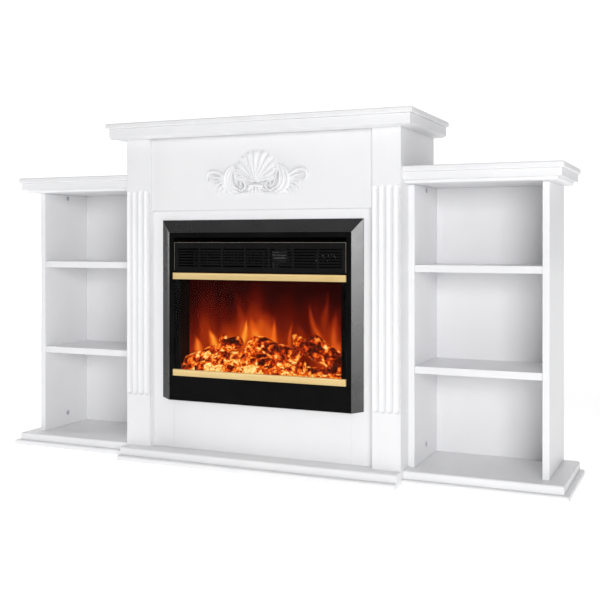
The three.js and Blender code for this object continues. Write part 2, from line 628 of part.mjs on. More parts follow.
// The crossflow wheel that pushes the warm air, its bracket and its motor.
function buildBlower() {
  const z = baffleTop + blowerPlace.above;
  const x = blowerX;
  const pieces = [toSolid(cylinderAlongX(blower.shaft, [x[0] - 6, x[1] + 8], blowerOut, z, 20))];
  for (let i = 0; i < blower.discs; i += 1) {
    const from = x[0] + (i * (span(x) - blower.disc)) / (blower.discs - 1);
    pieces.push(toSolid(cylinderAlongX(blower.radius, [from, from + blower.disc], blowerOut, z)));
  }
  for (let i = 0; i < blower.blades; i += 1) {
    const blade = new THREE.BoxGeometry(span(x) - 2, blower.blade, blower.bladeDepth);
    blade.rotateX(0.5).translate(0, 0, blower.radius - blower.bladeDepth / 2 - 0.6);
    blade.rotateX((2 * Math.PI * i) / blower.blades).translate(mid(x), wallY - blowerOut, z);
    pieces.push(toSolid(blade));
  }
  addSolid('blower_wheel', join(pieces), 'steel');

  const motorLeft = x[1] + blowerMotor.gap + blowerMotor.upright;
  const motorX = [motorLeft, motorLeft + blowerMotor.length];
  const footOut = [blowerOut - blowerMotor.halfFoot, blowerOut + blowerMotor.halfFoot];
  const uprights = [[x[0] - blowerMotor.gap - blowerMotor.upright, x[0] - blowerMotor.gap],
    [x[1] + blowerMotor.gap, motorX[0] + 1]];
  const foot = [baffleTop + GAP, baffleTop + GAP + blowerMotor.plate];
  const solids = uprights.map((place) => boxSolid(place, footOut, [foot[0], z + blowerMotor.halfFoot]));
  solids.push(boxSolid([uprights[0][0], motorX[1]], footOut, foot));
  solids.push(toSolid(cylinderAlongX(blowerMotor.radius, motorX, blowerOut, z)));
  const bore = toSolid(cylinderAlongX(blowerMotor.bore, [uprights[0][0] - 1, x[1] + 12], blowerOut, z, 20));
  addSolid('blower_motor', cut(join(solids), [bore]), 'steel');
}

function buildHeater() {
  const x = [blowerX[0] + heater.inset, blowerX[1] - heater.inset];
  const z = [baffleTop + heater.above, baffleTop + heater.above + heater.height];
  const bars = [z[0], z[1] - heater.bar].map((low) => boxSolid(x, heaterOut, [low, low + heater.bar]));
  const pitch = (span(x) - heater.fin) / (heater.fins - 1);
  for (let i = 0; i < heater.fins; i += 1) {
    const from = x[0] + i * pitch;
    const finOut = [heaterOut[0] + 2, heaterOut[1] - 2];
    bars.push(boxSolid([from, from + heater.fin], finOut, [z[0] + 1, z[1] - 1]));
  }
  for (const end of [x[0], x[1] - heater.bar]) {
    bars.push(boxSolid([end, end + heater.bar], heaterOut, [baffleTop + GAP, z[1]]));
  }
  addSolid('heater_element', join(bars), 'steel');
}

// ---------------------------------------------------------------- controls
const boxZ = [baffleTop + GAP, baffleTop + GAP + controls.height];
const controlZ = mid(boxZ) + 4;

function buildControls() {
  const out = controlsOut;
  const shell = boxSolid(boxX, out, boxZ);
  const hollow = boxSolid([boxX[0] + controls.wall, boxX[1] - controls.wall],
    [out[0] - 1, out[1] - controls.wall], [boxZ[0] + controls.wall, boxZ[1] - controls.wall]);
  const cuts = [hollow];
  for (const x of rocker.xs) {
    const reach = rocker.width / 2 + rocker.clearance;
    cuts.push(boxSolid([boxX[0] + x - reach, boxX[0] + x + reach], [out[1] - 6, out[1] + 1],
      [controlZ - rocker.height / 2 - rocker.clearance, controlZ + rocker.height / 2 + rocker.clearance]));
  }
  for (const x of knob.xs) {
    cuts.push(toSolid(cylinderAlongOut(knob.stem + knob.clearance, boxX[0] + x, [out[1] - 6, out[1] + 1],
      controlZ, 24)));
  }
  addSolid('control_box', cut(shell, cuts), 'plastic');

  ['power_rocker', 'heat_rocker'].forEach((name, i) => {
    addSolid(name, rockerSolid(boxX[0] + rocker.xs[i]), 'plastic');
  });
  ['flame_knob', 'thermostat_knob'].forEach((name, i) => {
    addSolid(name, knobSolid(boxX[0] + knob.xs[i]), 'plastic');
  });
}

// A rocker that turns about a line along X: a slice of a round bar, dished in front.
const rockerOut = controlsOut[1] - rocker.radius + rocker.proud;
function rockerSolid(x) {
  const width = [x - rocker.width / 2, x + rocker.width / 2];
  const bar = toSolid(cylinderAlongX(rocker.radius, width, rockerOut, controlZ, 40));
  const window = boxSolid(width, [rockerOut - 3, rockerOut + rocker.radius + 1],
    [controlZ - rocker.height / 2 + 1.4, controlZ + rocker.height / 2 - 1.4]);
  const dish = toSolid(cylinderAlongX(rocker.radius * 2.4, [width[0] - 1, width[1] + 1],
    rockerOut + rocker.radius * 3.3, controlZ, 64));
  return turned(bar.intersect(window).subtract(dish), [rocker.restTilt, 0, 0], [x, rockerOut, controlZ]);
}

function knobSolid(x) {
  const foot = controlsOut[1] + 1;
  const stem = toSolid(cylinderAlongOut(knob.stem, x, [controlsOut[1] - 10, foot + 1], controlZ, 20));
  const body = toSolid(cylinderAlongOut(knob.radius, x, [foot, foot + knob.length], controlZ, 28));
  const grip = boxSolid([x - knob.grip, x + knob.grip], [foot + 1, foot + knob.length + 2],
    [controlZ - knob.radius + 1, controlZ + knob.radius + 1.2]);
  return turned(join([stem, body, grip]), [0, knob.restTurn, 0], [x, controlsOut[1], controlZ]);
}

// The cord inlet in the back of the housing.
function buildGland() {
  const outs = [bodyOut[0] - gland.length * 0.6, bodyOut[0] + gland.length * 0.6];
  const barrel = toSolid(cylinderAlongOut(gland.radius, glandX, outs, glandZ, 24));
  const flangeOut = [bodyOut[0] - gland.rim, bodyOut[0] - GAP];
  const flange = toSolid(cylinderAlongOut(gland.flange, glandX, flangeOut, glandZ, 24));
  const bore = toSolid(cylinderAlongOut(gland.bore, glandX, [outs[0] - 1, outs[1] + 1], glandZ, 20));
  addSolid('cord_gland', cut(join([barrel, flange]), [bore]), 'plastic');
}

// ---------------------------------------------------------------- assembly
buildTop();
buildFront();
buildCarving();
buildCentreBase();
for (const [label, side] of sides) buildBookcase(label, side);
buildBezel();
buildFace();
buildGlass();
buildFlap();
buildHousing();
buildFireEffect();
buildSpindle();
buildBlower();
buildHeater();
buildControls();
buildGland();

export default group;
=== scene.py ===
"""Looks of the electric fireplace: painted boards, black firebox front, carving, logs and embers."""

import json
import math
import random

import bpy
import numpy as np
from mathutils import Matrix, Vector


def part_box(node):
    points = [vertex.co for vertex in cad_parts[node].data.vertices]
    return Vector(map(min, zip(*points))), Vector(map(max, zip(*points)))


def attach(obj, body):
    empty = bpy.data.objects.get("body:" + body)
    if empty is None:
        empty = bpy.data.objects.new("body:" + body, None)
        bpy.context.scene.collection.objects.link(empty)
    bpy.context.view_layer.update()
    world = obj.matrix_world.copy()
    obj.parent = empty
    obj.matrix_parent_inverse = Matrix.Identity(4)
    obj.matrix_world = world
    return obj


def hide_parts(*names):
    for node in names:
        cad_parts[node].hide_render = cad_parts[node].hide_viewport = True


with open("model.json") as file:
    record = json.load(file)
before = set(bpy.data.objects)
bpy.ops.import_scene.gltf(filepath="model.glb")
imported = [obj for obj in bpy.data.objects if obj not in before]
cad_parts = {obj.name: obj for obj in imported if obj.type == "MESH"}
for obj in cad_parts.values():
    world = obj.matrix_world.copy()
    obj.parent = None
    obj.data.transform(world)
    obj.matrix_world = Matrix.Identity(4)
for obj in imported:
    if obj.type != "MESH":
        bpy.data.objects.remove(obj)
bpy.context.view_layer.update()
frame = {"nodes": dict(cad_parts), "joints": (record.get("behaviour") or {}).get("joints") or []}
scene = bpy.context.scene
MM = 0.001

# ---------------------------------------------------------------- camera and light
FRAME_ROWS = 600                 # the picture is square
HORIZON_ROW = 244.7              # from the top
FOCAL_ROWS = 948.9
SENSOR = 36                      # millimetres
CAMERA_PLACE = (1.2364, -2.6308, 0.6692)
CAMERA_TURN = (89.84, 0, 23.67)  # degrees
WALL_LIGHT = 0.80                # behind the object, over the room's own light
ROOM_LIGHT = 0.28
# Name, place, target, size in metres and watts.
SOFTBOXES = [
    ("key_light", (2.7, -4.4, 1.2), (0, 0, 0.5), (2.2, 1.8), 135),
    ("left_light", (-3.6, -0.55, 1.05), (-0.3, -0.12, 0.6), (1.1, 1.3), 36),
    ("top_light", (-0.4, -1.3, 3.6), (0, -0.2, 0.4), (3.2, 2.4), 6),
]
FLOOR_REACH = 30
FLOOR_GLOW = 0.5                 # the floor's own light, round the object and behind it
FAR_FLOOR_GLOW = 0.45            # added further back


def place_camera():
    """A level view from the right, with the horizon above the middle of the picture."""
    data = bpy.data.cameras.new("camera")
    data.sensor_width = SENSOR
    data.lens = SENSOR * FOCAL_ROWS / FRAME_ROWS
    data.shift_y = (HORIZON_ROW - FRAME_ROWS / 2) / FRAME_ROWS
    camera = bpy.data.objects.new("camera", data)
    camera.location = CAMERA_PLACE
    camera.rotation_euler = [math.radians(turn) for turn in CAMERA_TURN]
    scene.collection.objects.link(camera)
    scene.camera = camera


def softbox(name, place, target, size, power):
    """A rectangular area light that faces a target."""
    data = bpy.data.lights.new(name, "AREA")
    data.shape = "RECTANGLE"
    data.size, data.size_y = size
    data.energy = power
    light = bpy.data.objects.new(name, data)
    light.location = place
    way = Vector(target) - Vector(place)
    light.rotation_euler = way.to_track_quat("-Z", "Y").to_euler()
    scene.collection.objects.link(light)


def light_room():
    """A white wall of light behind the object, a dimmer room in front, and softboxes."""
    world = bpy.data.worlds.new("room")
    scene.world = world
    world.use_nodes = True
    tree = world.node_tree
    background = tree.nodes["Background"]
    background.inputs["Color"].default_value = (1, 1, 1, 1)
    way = tree.nodes.new("ShaderNodeTexCoord").outputs["Generated"]
    parts = tree.nodes.new("ShaderNodeSeparateXYZ")
    tree.links.new(way, parts.inputs[0])

    def smooth_step(value, low, high):
        step = tree.nodes.new("ShaderNodeMapRange")
        step.interpolation_type = "SMOOTHSTEP"
        step.inputs["From Min"].default_value = low
        step.inputs["From Max"].default_value = high
        tree.links.new(value, step.inputs["Value"])
        return step.outputs["Result"]

    def multiply_add(a, b, c=0.0):
        node = tree.nodes.new("ShaderNodeMath")
        node.operation = "MULTIPLY_ADD"
        for socket, value in zip(node.inputs, (a, b, c)):
            if isinstance(value, float):
                socket.default_value = value
            else:
                tree.links.new(value, socket)
        return node.outputs[0]

    behind = smooth_step(parts.outputs["Y"], 0.25, 0.7)
    not_right = smooth_step(parts.outputs["X"], 0.35, 0.0)
    wall = multiply_add(behind, not_right)
    strength = multiply_add(wall, WALL_LIGHT, ROOM_LIGHT)
    tree.links.new(strength, background.inputs["Strength"])

    for box in SOFTBOXES:
        softbox(*box)
    scene.view_settings.view_transform = "Standard"


# ---------------------------------------------------------------- materials
class Surface:
    """A material on one Principled shader, patterned in the object's own metres."""

    def __init__(self, name, **constants):
        self.material = bpy.data.materials.new(name)
        self.material.use_nodes = True
        self.tree = self.material.node_tree
        self.shader = self.tree.nodes["Principled BSDF"]
        for socket, value in constants.items():
            self.shader.inputs[socket.replace("_", " ")].default_value = value
        self.place = self.tree.nodes.new("ShaderNodeTexCoord").outputs["Object"]

    def node(self, kind, inputs=(), **settings):
        """A new node. Inputs are numbers, colours or other nodes' outputs."""
        node = self.tree.nodes.new(kind)
        for key, value in settings.items():
            setattr(node, key, value)
        for socket, value in dict(inputs).items():
            if isinstance(value, bpy.types.NodeSocket):
                self.tree.links.new(value, node.inputs[socket])
            else:
                node.inputs[socket].default_value = value
        return node

    def noise(self, scale, detail=3.0, roughness=0.5, stretch=(1, 1, 1), distortion=0.0):
        way = self.node("ShaderNodeMapping", {0: self.place, "Scale": stretch}).outputs[0]
        node = self.node("ShaderNodeTexNoise", {"Vector": way, "Scale": scale, "Detail": detail,
                                                "Roughness": roughness, "Distortion": distortion})
        return node.outputs["Fac"]

    def math(self, operation, *values):
        return self.node("ShaderNodeMath", enumerate(values), operation=operation).outputs[0]

    def spread(self, value, low, high, start=0.3, end=0.7):
        """A value between start and end becomes one between low and high."""
        inputs = {"Value": value, "From Min": start, "From Max": end, "To Min": low, "To Max": high}
        return self.node("ShaderNodeMapRange", inputs).outputs["Result"]

    def ramp(self, value, stops):
        node = self.node("ShaderNodeValToRGB", {"Fac": value})
        elements = node.color_ramp.elements
        while len(elements) < len(stops):
            elements.new(1.0)
        for element, (position, colour) in zip(elements, stops):
            element.position = position
            element.color = (*colour, 1)
        return node.outputs["Color"]

    def bump(self, *layers):
        """Each layer is a height and its depth in metres; the last result drives the normal."""
        normal = None
        for height, depth in layers:
            inputs = {"Height": height, "Distance": depth, "Strength": 1.0}
            if normal is not None:
                inputs["Normal"] = normal
            normal = self.node("ShaderNodeBump", inputs).outputs["Normal"]
        self.drive(Normal=normal)

    def drive(self, **outputs):
        for socket, output in outputs.items():
            self.tree.links.new(output, self.shader.inputs[socket.replace("_", " ")])


# The firebox's inner space, whose sheet is coloured matt near-black as painted shade, in metres.
CHAMBER_HALF_WIDTH = 0.2872
CHAMBER_BACK = 0.1115
CHAMBER_FLOOR = 0.2040
CHAMBER_ROOF = 0.7180


def painted_board():
    """Satin white paint with a roller's stipple."""
    made = Surface("satin_white_paint", Coat_Weight=0.12, Coat_Roughness=0.25)
    cloud = made.noise(2.3, 4.0)
    peel = made.noise(420.0, 2.0)
    roller = made.noise(95.0, 3.0, 0.6, (1, 1, 0.35))
    made.drive(Base_Color=made.ramp(cloud, [(0.3, (0.80, 0.80, 0.815)), (0.7, (0.86, 0.86, 0.87))]),
               Roughness=made.spread(roller, 0.36, 0.52))
    made.bump((peel, 0.00005), (roller, 0.00008))
    return made.material


def black_coat(name, tone, rough, grain, depth, specular):
    """Black metal or plastic with a fine grain and faint handling marks."""
    made = Surface(name, Specular_IOR_Level=specular)
    fine = made.noise(grain, 2.0)
    marks = made.noise(14.0, 5.0, 0.6)
    low, high = tone
    made.drive(Base_Color=made.ramp(marks, [(0.3, (low, low, low)), (0.7, (high, high, high * 1.05))]),
               Roughness=made.spread(marks, rough[0], rough[1]))
    made.bump((fine, depth))
    return made.material


def brass():
    """Trim brushed along its length, with a little tarnish."""
    made = Surface("brushed_brass", Metallic=0.35, Anisotropic=0.4)
    brushed = made.noise(60.0, 4.0, 0.65, (0.25, 14, 14))
    tarnish = made.noise(7.0, 4.0)
    tone = made.math("MULTIPLY_ADD", brushed, 0.6, made.math("MULTIPLY", tarnish, 0.4))
    made.drive(Base_Color=made.ramp(tone, [(0.3, (0.77, 0.54, 0.21)), (0.7, (0.92, 0.70, 0.34))]),
               Roughness=made.spread(brushed, 0.26, 0.42))
    made.bump((brushed, 0.00006))
    return made.material


def clear_glass():
    """Clear glass with a weak reflection and a faint film on it."""
    made = Surface("fire_glass", Transmission_Weight=1.0, IOR=1.45,
                   Specular_Tint=(0.06, 0.06, 0.06, 1))
    film = made.noise(9.0, 5.0, 0.6)
    made.drive(Base_Color=made.ramp(film, [(0.3, (0.93, 0.93, 0.93)), (0.7, (0.99, 0.99, 0.99))]),
               Roughness=made.spread(film, 0.0, 0.02))
    return made.material


def galvanised(name, dark_inside=False):
    """Spangled zinc sheet; the side that faces into the firebox can be matt near-black, a painted shade."""
    made = Surface(name)
    spangle = made.node("ShaderNodeTexVoronoi", {"Vector": made.place, "Scale": 130.0,
                                                 "Randomness": 1.0}).outputs["Color"]
    grey = made.node("ShaderNodeRGBToBW", {0: spangle}).outputs[0]
    scuff = made.noise(38.0, 5.0, 0.6)
    tone = made.math("MULTIPLY_ADD", grey, 0.5, made.math("MULTIPLY", scuff, 0.5))
    colour = made.ramp(tone, [(0.2, (0.36, 0.37, 0.38)), (0.8, (0.62, 0.63, 0.65))])
    metal = made.spread(scuff, 0.82, 0.95)
    if dark_inside:
        parts = made.node("ShaderNodeSeparateXYZ", {0: made.place}).outputs
        inside = made.math("LESS_THAN", made.math("ABSOLUTE", parts[0]), CHAMBER_HALF_WIDTH)
        for test, value, limit in (("GREATER_THAN", parts[2], CHAMBER_FLOOR),
                                   ("LESS_THAN", parts[2], CHAMBER_ROOF),
                                   ("LESS_THAN", parts[1], CHAMBER_BACK)):
            inside = made.math("MULTIPLY", inside, made.math(test, value, limit))
        # Painted shade: the sheet inside the chamber is coloured near-black.
        chamber_shade = made.ramp(scuff, [(0.3, (0.004, 0.004, 0.004)), (0.7, (0.010, 0.009, 0.008))])
        mix = made.node("ShaderNodeMix", {"Factor": inside}, data_type="RGBA")
        made.tree.links.new(colour, mix.inputs[6])
        made.tree.links.new(chamber_shade, mix.inputs[7])
        colour = mix.outputs[2]
        bright = made.math("SUBTRACT", 1.0, inside)
        metal = made.math("MULTIPLY", metal, bright)
        made.drive(Specular_IOR_Level=made.math("MULTIPLY_ADD", bright, 0.44, 0.06))
    made.drive(Base_Color=colour, Metallic=metal, Roughness=made.spread(tone, 0.32, 0.55))
    made.bump((tone, 0.00012))
    return made.material


def foil():
    """Crinkled metal foil."""
    made = Surface("crinkled_foil", Metallic=0.95)
    crinkle = made.noise(160.0, 4.0, 0.6)
    made.drive(Base_Color=made.ramp(crinkle, [(0.3, (0.62, 0.63, 0.65)), (0.7, (0.80, 0.81, 0.83))]),
               Roughness=made.spread(crinkle, 0.14, 0.3))
    made.bump((crinkle, 0.0004))
    return made.material


def circuit_board():
    """Green board with lines of track."""
    made = Surface("lamp_board_resin", Coat_Weight=0.3)
    tracks = made.node("ShaderNodeTexBrick", {"Vector": made.place, "Scale": 60.0, "Mortar Size": 0.02,
                                              "Color1": (0.03, 0.14, 0.05, 1),
                                              "Color2": (0.04, 0.20, 0.07, 1),
                                              "Mortar": (0.10, 0.34, 0.14, 1)})
    weave = made.noise(300.0, 2.0)
    made.drive(Base_Color=tracks.outputs["Color"], Roughness=made.spread(weave, 0.35, 0.55))
    made.bump((weave, 0.00008))
    return made.material


# Emission from cold char to white heat.
HEAT_COLOURS = [
    (0.00, (0.006, 0.0005, 0.0002)), (0.20, (0.060, 0.003, 0.0005)), (0.38, (0.33, 0.012, 0.001)),
    (0.54, (0.78, 0.055, 0.002)), (0.70, (1.0, 0.21, 0.008)), (0.85, (1.0, 0.50, 0.045)),
    (1.00, (1.0, 0.84, 0.34)),
]


def glowing(name, scale):
    """Charred resin lit from within: the piece's own heat, broken up by fine cracks."""
    made = Surface(name, Roughness=0.85, Specular_IOR_Level=0.1, Emission_Strength=1.0)
    heat = made.node("ShaderNodeAttribute", attribute_name="glow").outputs["Fac"]
    crack = made.noise(scale, 5.0, 0.65)
    fleck = made.noise(scale * 2.7, 3.0, 0.6)
    change = made.math("ADD", made.spread(crack, -0.30, 0.30, 0.32, 0.68),
                       made.spread(fleck, -0.16, 0.16, 0.32, 0.68))
    total = made.math("ADD", heat, change)
    char = made.ramp(fleck, [(0.3, (0.020, 0.004, 0.001)), (0.7, (0.10, 0.018, 0.004))])
    made.drive(Base_Color=char, Emission_Color=made.ramp(total, HEAT_COLOURS))
    made.bump((crack, 0.0012), (fleck, 0.0006))
    return made.material


def flame_film():
    """A dark film that the flames light up from behind."""
    made = Surface("lit_flame_film", Roughness=0.5, Specular_IOR_Level=0.02, Emission_Strength=1.0)
    heat = made.node("ShaderNodeAttribute", attribute_name="glow").outputs["Fac"]
    haze = made.noise(26.0, 4.0, 0.55, (1, 1, 0.45), 0.6)
    total = made.math("ADD", heat, made.spread(haze, -0.04, 0.04))
    made.drive(Base_Color=made.ramp(haze, [(0.3, (0.003, 0.001, 0.001)), (0.7, (0.008, 0.002, 0.002))]),
               Emission_Color=made.ramp(total, [
                   (0.00, (0.004, 0.0002, 0.0001)), (0.20, (0.022, 0.0006, 0.0002)),
                   (0.40, (0.10, 0.0035, 0.0006)), (0.60, (0.34, 0.024, 0.002)),
                   (0.80, (0.80, 0.11, 0.006)), (1.00, (1.0, 0.36, 0.03))]))
    return made.material


def floor_paint():
    """Pale floor paint with a faint cloud and a light of its own."""
    made = Surface("pale_floor", Roughness=0.9, Specular_IOR_Level=0.1,
                   Emission_Color=(1, 1, 1, 1))
    back = made.node("ShaderNodeSeparateXYZ", {0: made.place}).outputs["Y"]
    near = made.spread(back, 0.0, FLOOR_GLOW, -1.8, -1.2)
    far = made.spread(back, 0.0, FAR_FLOOR_GLOW, 1.5, 6.0)
    made.drive(Emission_Strength=made.math("ADD", near, far))
    cloud = made.noise(1.5, 3.0)
    made.drive(Base_Color=made.ramp(cloud, [(0.3, (0.93, 0.93, 0.93)), (0.7, (0.95, 0.95, 0.95))]))
    return made.material


# ---------------------------------------------------------------- noise and mesh helpers
def lattice(points, seed):
    """Smooth value noise from 0 to 1 at an array of points."""
    cell = np.floor(points).astype(np.int64)
    part = points - cell
    part = part * part * (3 - 2 * part)
    total = np.zeros(len(points))
    for corner in np.ndindex(2, 2, 2):
        key = (cell + corner) * (374761393, 668265263, 2147483647)
        value = (key.sum(axis=1) + seed * 1013904223) & 0xFFFFFFFF
        value = ((value ^ (value >> 13)) * 1274126177) & 0xFFFFFFFF
        value = ((value ^ (value >> 16)) & 0xFFFF) / 0xFFFF
        total += np.prod(np.where(corner, part, 1 - part), axis=1) * value
    return total


def fractal(points, period, octaves=3, seed=0):
    """Layers of noise, the first with this period in metres. The mean is about 0.5."""
    total, weight = np.zeros(len(points)), 0.0
    for octave in range(octaves):
        total += lattice(points * 2**octave / period, seed + octave) / 2**octave
        weight += 0.5**octave
    return total / weight


def smooth(value, low, high):
    """Rises softly from 0 at low to 1 at high; falls where high is the smaller."""
    share = np.clip((value - low) / (high - low), 0, 1)
    return share * share * (3 - 2 * share)


def new_mesh(name, points, faces):
    mesh = bpy.data.meshes.new(name)
    mesh.from_pydata([tuple(p) for p in points], [], faces)
    mesh.update()
    return mesh


def new_piece(name, mesh, material, body="cabinet"):
    """A mesh in the part's own frame that rides on a body."""
    piece = bpy.data.objects.new(name, mesh)
    scene.collection.objects.link(piece)
    mesh.materials.append(material)
    for polygon in mesh.polygons:
        polygon.use_smooth = True
    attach(piece, body)
    return piece


def fused(name, solids, cell):
    """One closed skin round several overlapping closed shapes, given as points and faces."""
    points, faces = [], []
    for solid_points, solid_faces in solids:
        start = len(points)
        points.extend(solid_points)
        faces.extend([tuple(i + start for i in face) for face in solid_faces])
    rough = bpy.data.objects.new("rough", new_mesh("rough", points, faces))
    scene.collection.objects.link(rough)
    remesh = rough.modifiers.new("skin", "REMESH")
    remesh.mode = "VOXEL"
    remesh.voxel_size = cell
    graph = bpy.context.evaluated_depsgraph_get()
    mesh = bpy.data.meshes.new_from_object(rough.evaluated_get(graph))
    mesh.name = name
    bpy.data.objects.remove(rough)
    return mesh


def coordinates(mesh):
    flat = np.zeros(len(mesh.vertices) * 3)
    mesh.vertices.foreach_get("co", flat)
    return flat.reshape(-1, 3)


def normals(mesh):
    flat = np.zeros(len(mesh.vertices) * 3)
    mesh.vertex_normals.foreach_get("vector", flat)
    return flat.reshape(-1, 3)


def set_coordinates(mesh, points):
    mesh.vertices.foreach_set("co", points.ravel())
    mesh.update()


def set_heat(mesh, heat):
    """Stores how hot each vertex looks, from 0 to 1, for the glowing materials."""
    attribute = mesh.attributes.new("glow", "FLOAT", "POINT")
    attribute.data.foreach_set("value", np.clip(heat, 0, 1).astype(np.float32))


def rings_to_solid(rings):
    """Closed rings of equal length become a tube with flat ends."""
    count = len(rings[0])
    points = [p for ring in rings for p in ring]
    faces = [tuple(reversed(range(count)))]
    for i in range(len(rings) - 1):
        for k in range(count):
            a, b = i * count + k, i * count + (k + 1) % count
            faces.append((a, b, b + count, a + count))
    last = (len(rings) - 1) * count
    faces.append(tuple(range(last, last + count)))
    return points, faces


def along_curve(controls, steps=7):
    """Points of a smooth curve through rows of numbers."""
    rows = np.array(controls, float)
    rows = np.vstack([2 * rows[0] - rows[1], rows, 2 * rows[-1] - rows[-2]])
    out = []
    for i in range(1, len(rows) - 2):
        a, b, c, d = rows[i - 1:i + 3]
        for t in np.linspace(0, 1, steps, endpoint=False):
            out.append(0.5 * (2 * b + (c - a) * t + (2 * a - 5 * b + 4 * c - d) * t**2
                              + (3 * b - 3 * c + d - a) * t**3))
    out.append(rows[-2])
    return np.array(out)


# ---------------------------------------------------------------- carved applique
def carved_stroke(controls, back, section=12):
    """A ridge on the board. Each control is x, z, half width and rise, in millimetres."""
    rows = along_curve(controls)
    rows[:, 2:] = np.maximum(rows[:, 2:], 0.4)
    way = np.gradient(rows[:, :2], axis=0)
    way /= np.linalg.norm(way, axis=1)[:, None]
    ends = []
    for index, sign in ((0, -1), (-1, 1)):
        x, z, width, rise = rows[index]
        for share in (0.45, 0.8, 0.98):
            shrink = math.sqrt(1 - share * share)
            reach = sign * share * width
            ends.append((sign, [x + way[index][0] * reach, z + way[index][1] * reach,
                                width * shrink, rise * shrink], way[index]))
    first = [e for e in ends if e[0] < 0][::-1]
    last = [e for e in ends if e[0] > 0]
    stations = ([(e[1], e[2]) for e in first] + list(zip(rows, way)) + [(e[1], e[2]) for e in last])
    angles = np.linspace(0, math.pi, section)
    rings = []
    for (x, z, width, rise), (way_x, way_z) in stations:
        ring = [((x - way_z * width * math.cos(t)) * MM, back - rise * MM * math.sin(t),
                 (z + way_x * width * math.cos(t)) * MM) for t in angles]
        rings.append(ring)
    return rings_to_solid(rings)


# The right leaf and scroll, as x, z, half width and rise in millimetres. The left ones mirror them.
LEAF_STROKES = [
    [(72, 897, 2, 6), (92, 884, 6, 9), (103, 862, 8, 11), (102, 838, 8, 11), (88, 820, 7, 9),
     (66, 812, 3, 5)],
    [(73, 892, 2, 8), (85, 878, 5, 11), (91, 858, 6, 13), (88, 838, 6, 13), (77, 825, 5, 11),
     (60, 817, 3, 6)],
    [(72, 886, 2, 9), (78, 871, 4, 12), (80, 853, 5, 14), (75, 837, 5, 13), (62, 827, 3, 8)],
    [(71, 896, 2, 9), (69, 876, 2.6, 13), (66, 857, 2.8, 14), (60, 841, 2.8, 13),
     (51, 830, 2.5, 12)],
    [(69, 885, 2, 8), (56, 883, 4.5, 9), (42, 872, 4, 7)],
    [(68, 875, 2, 9), (52, 871, 4.5, 10), (37, 860, 4, 7)],
    [(67, 864, 2, 9), (52, 860, 4.2, 10), (38, 852, 3.5, 8)],
    [(65, 853, 2, 9), (52, 850, 4, 9), (42, 847, 3, 8)],
    [(60, 828, 3, 8), (48, 821, 3.6, 11), (37, 826, 3.8, 12), (33, 837, 3.6, 13),
     (40, 846, 3.2, 13), (49, 842, 2.8, 12), (48, 834, 2.4, 12), (43, 835, 2.4, 13)],
    [(96, 815, 2.5, 5), (72, 810, 3, 7), (46, 813, 3, 8), (24, 815, 2.5, 7)],
    [(106, 864, 5, 8), (124, 875, 6.5, 9), (143, 880, 6.5, 10), (158, 875, 5.5, 10),
     (163, 862, 4.5, 9), (158, 850, 3.8, 9), (150, 851, 3, 9), (149, 858, 2.6, 10)],
    [(106, 855, 5, 8), (124, 861, 5, 9), (139, 864, 4, 8), (148, 866, 2, 6)],
    [(104, 848, 4, 8), (120, 844, 5, 9), (132, 836, 4.5, 8), (137, 828, 2.5, 6)],
    [(102, 840, 4, 8), (115, 833, 4.5, 9), (124, 822, 3.5, 7), (126, 815, 2, 5)],
    [(98, 830, 4, 8), (107, 822, 4, 8), (112, 813, 2.5, 6)],
    [(112, 850, 3, 7), (126, 852, 3, 8), (138, 849, 2.5, 7), (143, 842, 2, 5)],
]
SHELL_BASE = (0, 843)            # where the ribs meet, as x and z
SHELL_RIBS = 11
SHELL_SPREAD = 150               # degrees from the first rib to the last
RIB_LENGTH = 97
RIB_SHORTENING = 0.0055          # for each square degree from upright
# Share of a rib's reach, of its width and of its height.
RIB_SHAPE = ((0.06, 0.10, 0.75), (0.4, 0.38, 0.9), (0.75, 0.74, 1.0), (1.0, 1.0, 0.85))
KNOT = [(-22, 835, 4.2, 11), (0, 836, 4.8, 12), (22, 835, 4.2, 11)]
PETAL_ROOT = 833
PETAL_TIPS = ((-26, 824), (-14, 817), (0, 814), (14, 817), (26, 824))
CARVING_CELL = 0.0011            # metres between the fused carving's points


def carve_applique(material):
    """A fan shell over a knot of petals, with a curled leaf and a hooked scroll each side."""
    low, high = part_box("carved_applique")
    strokes = []
    pitch = SHELL_SPREAD / (SHELL_RIBS - 1)
    for i in range(SHELL_RIBS):
        angle = -SHELL_SPREAD / 2 + i * pitch
        turn = math.radians(angle)
        length = RIB_LENGTH - RIB_SHORTENING * angle * angle
        tip = length * math.radians(pitch) / 2

        def rib(reach, wide, high):
            return [(SHELL_BASE[0] + math.sin(turn) * reach * s, SHELL_BASE[1] + math.cos(turn) * reach * s,
                     wide * w, high * h) for s, w, h in RIB_SHAPE]

        strokes.append(rib(length - tip, tip * 0.84, 11.5))
        strokes.append(rib(length - tip + 3, tip + 1.5, 4))
        if i % 2:
            strokes.append(rib(length - tip * 1.5, tip * 0.26, 14))
    strokes.append(KNOT)
    for x, z in PETAL_TIPS:
        strokes.append([(x * 0.45, PETAL_ROOT, 2, 9), (x * 0.75, 0.5 * (PETAL_ROOT + z), 4, 10),
                        (x, z, 3, 7)])
    for side in (-1, 1):
        for stroke in LEAF_STROKES:
            strokes.append([(side * x, z, width, rise) for x, z, width, rise in stroke])
    mesh = fused("carving", [carved_stroke(stroke, high.y) for stroke in strokes], CARVING_CELL)
    set_coordinates(mesh, np.clip(coordinates(mesh), low, high))
    piece = new_piece("shell_carving", mesh, material)
    soften = piece.modifiers.new("soften", "CORRECTIVE_SMOOTH")
    soften.factor = 0.5
    soften.iterations = 2
    soften.use_only_smooth = True
    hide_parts("carved_applique")


# ---------------------------------------------------------------- logs and embers
bed_low, bed_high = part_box("ember_bed")
FIRE_FRONT = bed_low.y
BED_RISE = 0.014                 # of the bed's top, from its front edge to its back
BED_SLOPE = 14 / 72
BED_TOP = bed_high.z - BED_RISE  # at the bed's front edge
FIRE_CELL = 0.0021               # metres between the fused logs' or embers' points


